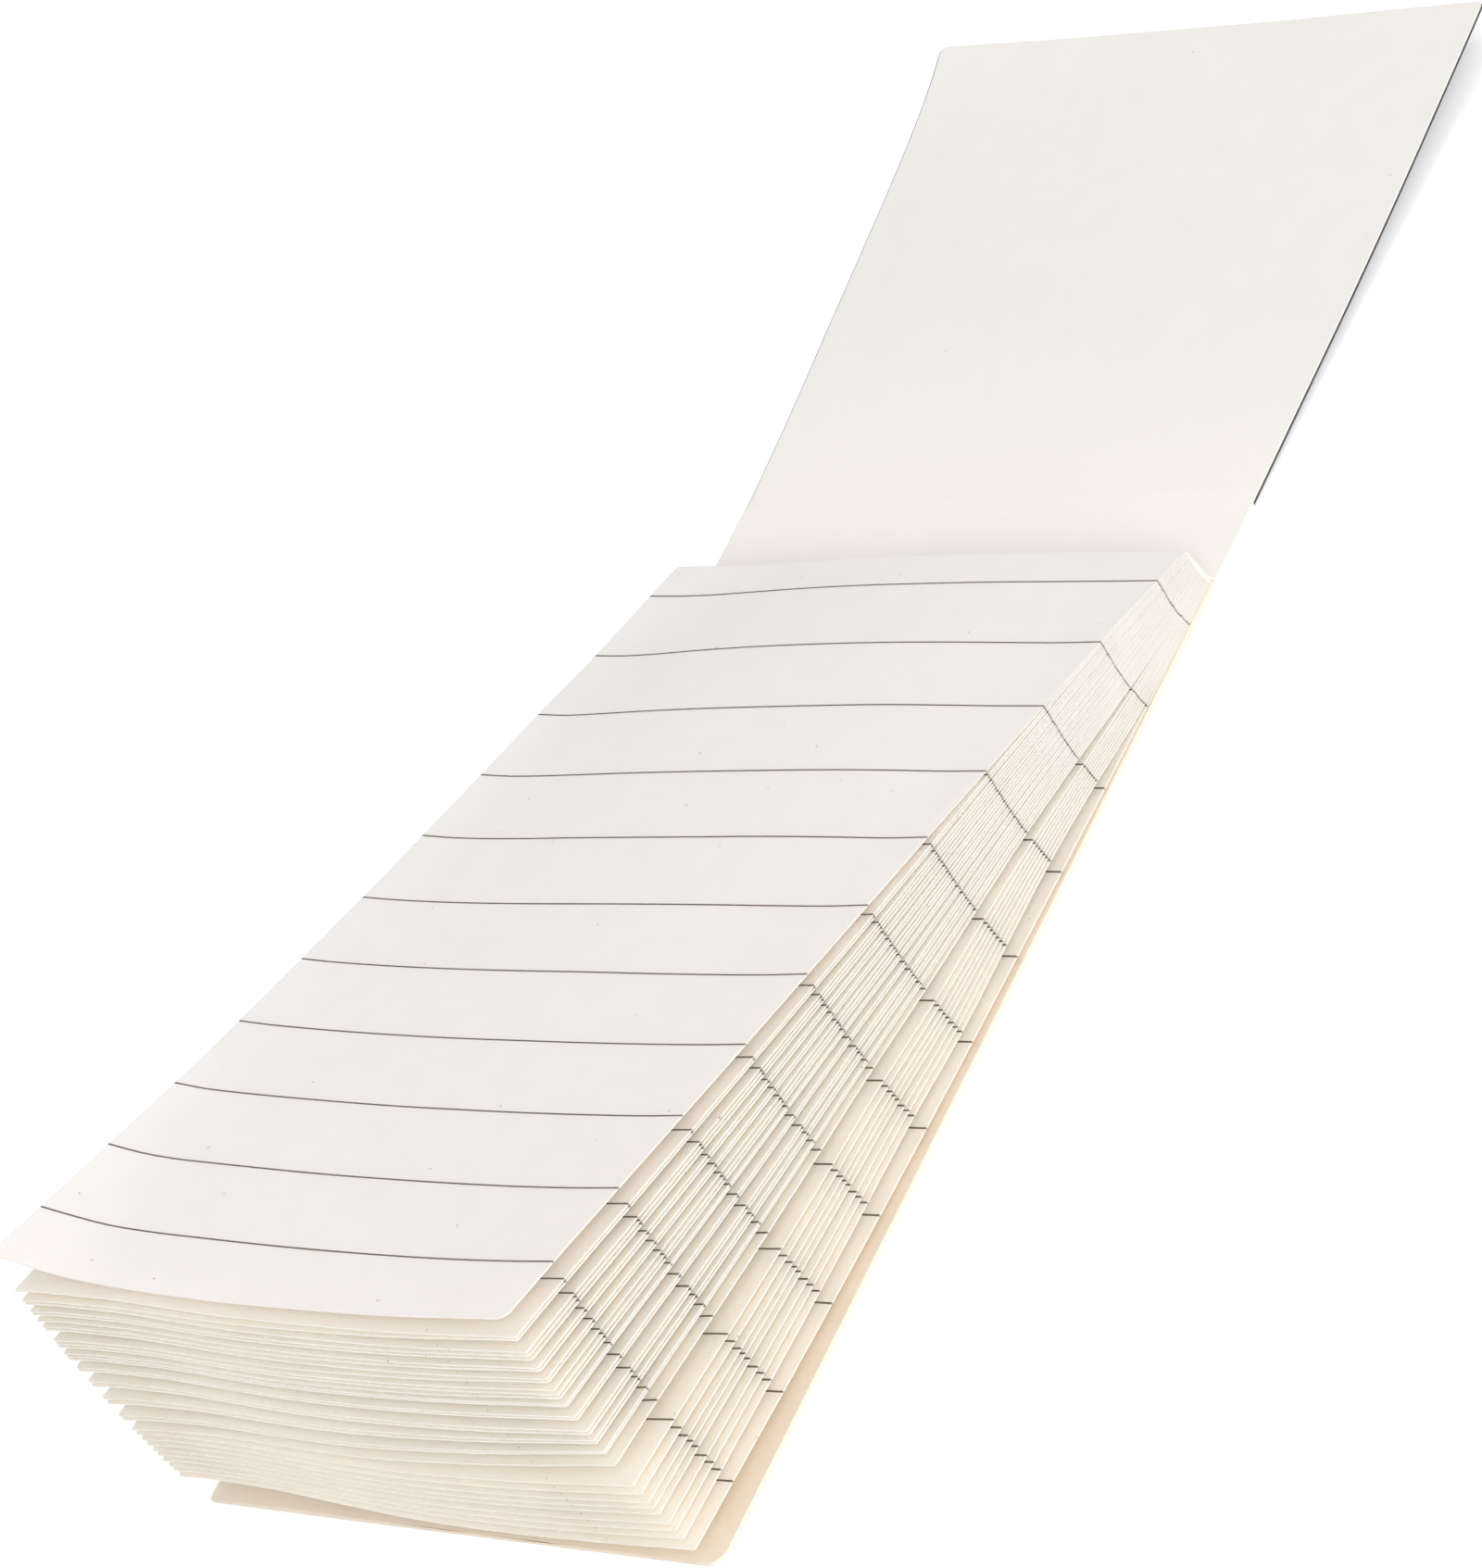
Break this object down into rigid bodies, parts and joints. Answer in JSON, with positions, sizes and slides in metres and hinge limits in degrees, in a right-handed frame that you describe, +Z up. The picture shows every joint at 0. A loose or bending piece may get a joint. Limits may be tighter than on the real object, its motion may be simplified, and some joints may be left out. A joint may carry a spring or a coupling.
{
  "type": "ruled notebook",
  "caption": "Small ruled notebook glued along its short edge, lying open: fanned leaves on a back cover, a spine strip and a short front cover folded back.",
  "frame": {"origin": "middle of the back cover's underside", "axes": "+X across the leaves, +Y towards the bound edge and the front cover, +Z up out of the back cover"},
  "size_m": [0.0608, 0.1471, 0.0285],
  "materials": {
    "leaf_paper": "smooth uncoated ivory paper with grey-brown rules",
    "glue": "dried flexible white glue",
    "back_card": "uncoated pale card",
    "strip_card": "thin smooth pale card, creased at both edges",
    "outer_board": "matt dark grey covered board",
    "lining_paper": "smooth off-white lining paper"
  },
  "bodies": {
    "block": {"pages": "leaf_paper", "binding_glue": "glue", "back_cover": "back_card"},
    "spine": {"spine_strip": "strip_card"},
    "cover": {"front_cover": "outer_board", "front_lining": "lining_paper"}
  },
  "joints": [
    {"name": "spine_fold", "type": "hinge", "parent": "block", "child": "spine", "pos_m": [0, 0.0456, 0.0002], "axis": [1, 0, 0], "range_deg": [-90, 90]},
    {"name": "cover_fold", "type": "hinge", "parent": "spine", "child": "cover", "pos_m": [0, 0.0526, 0.0002], "axis": [1, 0, 0], "range_deg": [-90, 71]}
  ]
}
